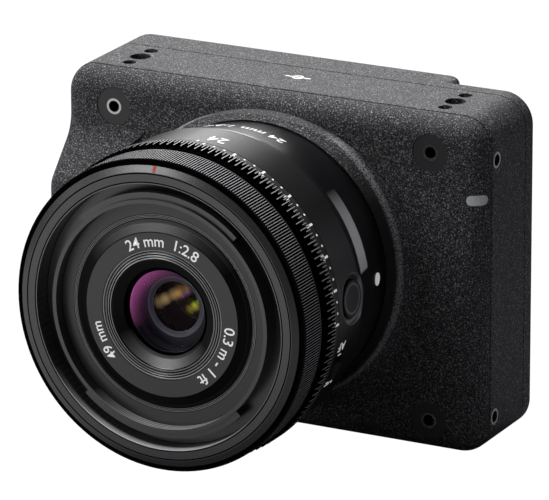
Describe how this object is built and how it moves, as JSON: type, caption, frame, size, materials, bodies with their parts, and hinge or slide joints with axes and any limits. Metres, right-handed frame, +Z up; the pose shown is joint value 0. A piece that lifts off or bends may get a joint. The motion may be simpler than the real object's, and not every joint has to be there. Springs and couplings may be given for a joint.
{
  "type": "mirrorless camera",
  "caption": "Compact box-bodied mirrorless camera with a fitted wide prime lens, threaded fixing points on its faces and a raised release-button ridge beside the mount.",
  "frame": {"origin": "centre of the mouth of the tripod socket in the base", "axes": "+Z up, -Y the way the lens looks, +X to the right of someone who faces the lens"},
  "size_m": [0.1, 0.0805, 0.074],
  "materials": {
    "body_paint": "coarse grained paint",
    "disc_black": "smooth moulded",
    "lamp_grey": "translucent",
    "steel": "bright turned",
    "screw_black": "blackened",
    "alloy": "cast and sheet alloy",
    "board": "solder resist",
    "socket_metal": "stamped",
    "socket_plastic": "moulded",
    "gold": "gold plated",
    "ceramic": "dark ceramic",
    "glass": "coated glass",
    "barrel_black": "satin black anodised",
    "name_black": "fine matt black",
    "inner_black": "matt black",
    "blade_black": "matt black",
    "button_black": "satin"
  },
  "bodies": {
    "camera": {"front_cover": "body_paint", "mid_band": "body_paint", "rear_cover": "body_paint", "fixing_discs": "disc_black", "lamp_window": "lamp_grey", "thread_inserts": "steel", "tripod_bush": "steel", "door_pin": "steel", "mount_ring": "steel", "mount_screws": "steel", "lens_mount_plate": "steel", "focus_rods": "steel", "rear_screws": "screw_black", "inner_frame": "alloy", "sensor_plate": "alloy", "heat_spreader": "alloy", "focus_motor": "alloy", "sensor_board": "board", "main_board": "board", "io_board": "board", "usb_socket": "socket_metal", "video_socket": "socket_metal", "card_slot": "socket_metal", "power_socket": "socket_plastic", "contact_block": "socket_plastic", "contact_pins": "gold", "sensor_package": "ceramic", "sensor_glass": "glass", "front_element": "glass", "inner_elements": "glass", "rear_element": "glass", "rear_barrel": "barrel_black", "inner_barrel": "barrel_black", "front_bezel": "barrel_black", "filter_ring": "barrel_black", "name_ring": "name_black", "front_retainer": "name_black", "front_cell": "inner_black", "core_tube": "inner_black", "rear_cell": "inner_black", "iris_housing": "inner_black"},
    "aperture_ring": {"aperture_ring": "barrel_black"},
    "focus_ring": {"focus_ring": "barrel_black"},
    "iris_drive": {"iris_drive_ring": "inner_black"},
    "focus_group": {"focus_carrier": "inner_black", "focus_element": "glass"},
    "hold_button": {"focus_hold_button": "button_black"},
    "mode_switch": {"focus_mode_switch": "button_black"},
    "release_button": {"release_button": "button_black"},
    "lock_pin": {"lock_pin": "steel"},
    "card_door": {"card_door": "body_paint"},
    "power_button": {"power_button": "button_black"},
    "menu_button": {"menu_button": "button_black"},
    "blade_1": {"iris_blade_1": "blade_black"},
    "blade_2": {"iris_blade_2": "blade_black"},
    "blade_3": {"iris_blade_3": "blade_black"},
    "blade_4": {"iris_blade_4": "blade_black"},
    "blade_5": {"iris_blade_5": "blade_black"},
    "blade_6": {"iris_blade_6": "blade_black"},
    "blade_7": {"iris_blade_7": "blade_black"}
  },
  "joints": [
    {"name": "aperture_turn", "type": "hinge", "parent": "camera", "child": "aperture_ring", "pos_m": [0, -0.0487, 0.03925], "axis": [0, -1, 0], "range_deg": [0, 88.5]},
    {"name": "focus_turn", "type": "hinge", "parent": "camera", "child": "focus_ring", "pos_m": [0, -0.0572, 0.03925], "axis": [0, -1, 0], "continuous": true},
    {"name": "iris_turn", "type": "hinge", "parent": "camera", "child": "iris_drive", "pos_m": [0, -0.0411, 0.03925], "axis": [0, -1, 0], "range_deg": [0, 40]},
    {"name": "blade_1_turn", "type": "hinge", "parent": "camera", "child": "blade_1", "pos_m": [0.0117, -0.0419, 0.03925], "axis": [0, -1, 0], "range_deg": [0, 24]},
    {"name": "blade_2_turn", "type": "hinge", "parent": "camera", "child": "blade_2", "pos_m": [0.00729, -0.0419, 0.0484], "axis": [0, -1, 0], "range_deg": [0, 24]},
    {"name": "blade_3_turn", "type": "hinge", "parent": "camera", "child": "blade_3", "pos_m": [-0.0026, -0.0419, 0.05066], "axis": [0, -1, 0], "range_deg": [0, 24]},
    {"name": "blade_4_turn", "type": "hinge", "parent": "camera", "child": "blade_4", "pos_m": [-0.01054, -0.0419, 0.04433], "axis": [0, -1, 0], "range_deg": [0, 24]},
    {"name": "blade_5_turn", "type": "hinge", "parent": "camera", "child": "blade_5", "pos_m": [-0.01054, -0.0419, 0.03417], "axis": [0, -1, 0], "range_deg": [0, 24]},
    {"name": "blade_6_turn", "type": "hinge", "parent": "camera", "child": "blade_6", "pos_m": [-0.0026, -0.0419, 0.02784], "axis": [0, -1, 0], "range_deg": [0, 24]},
    {"name": "blade_7_turn", "type": "hinge", "parent": "camera", "child": "blade_7", "pos_m": [0.00729, -0.0419, 0.0301], "axis": [0, -1, 0], "range_deg": [0, 24]},
    {"name": "focus_slide", "type": "slide", "parent": "camera", "child": "focus_group", "axis": [0, -1, 0], "range_m": [-0.0022, 0.0022]},
    {"name": "hold_press", "type": "slide", "parent": "camera", "child": "hold_button", "axis": [-0.9982, 0, -0.0593], "range_m": [0, 0.0003], "stiffness_N_per_m": 500},
    {"name": "mode_slide", "type": "hinge", "parent": "camera", "child": "mode_switch", "pos_m": [0, -0.0425, 0.03925], "axis": [0, -1, 0], "range_deg": [0, 5.5]},
    {"name": "release_press", "type": "slide", "parent": "camera", "child": "release_button", "axis": [0, 1, 0], "range_m": [0, 0.0015], "stiffness_N_per_m": 400},
    {"name": "pin_draw", "type": "slide", "parent": "camera", "child": "lock_pin", "axis": [0, 1, 0], "range_m": [0, 0.0015]},
    {"name": "door_hinge", "type": "hinge", "parent": "camera", "child": "card_door", "pos_m": [-0.0491, 0.0138, 0.037], "axis": [0, 0, -1], "range_deg": [0, 95]},
    {"name": "power_press", "type": "slide", "parent": "camera", "child": "power_button", "axis": [0, -1, 0], "range_m": [0, 0.0005], "stiffness_N_per_m": 500},
    {"name": "menu_press", "type": "slide", "parent": "camera", "child": "menu_button", "axis": [0, -1, 0], "range_m": [0, 0.0005], "stiffness_N_per_m": 500}
  ],
  "couplings": [
    {"joint": "blade_1_turn", "follows": "iris_turn", "ratio": 0.6},
    {"joint": "blade_2_turn", "follows": "iris_turn", "ratio": 0.6},
    {"joint": "blade_3_turn", "follows": "iris_turn", "ratio": 0.6},
    {"joint": "blade_4_turn", "follows": "iris_turn", "ratio": 0.6},
    {"joint": "blade_5_turn", "follows": "iris_turn", "ratio": 0.6},
    {"joint": "blade_6_turn", "follows": "iris_turn", "ratio": 0.6},
    {"joint": "blade_7_turn", "follows": "iris_turn", "ratio": 0.6},
    {"joint": "pin_draw", "follows": "release_press", "ratio": 1}
  ]
}
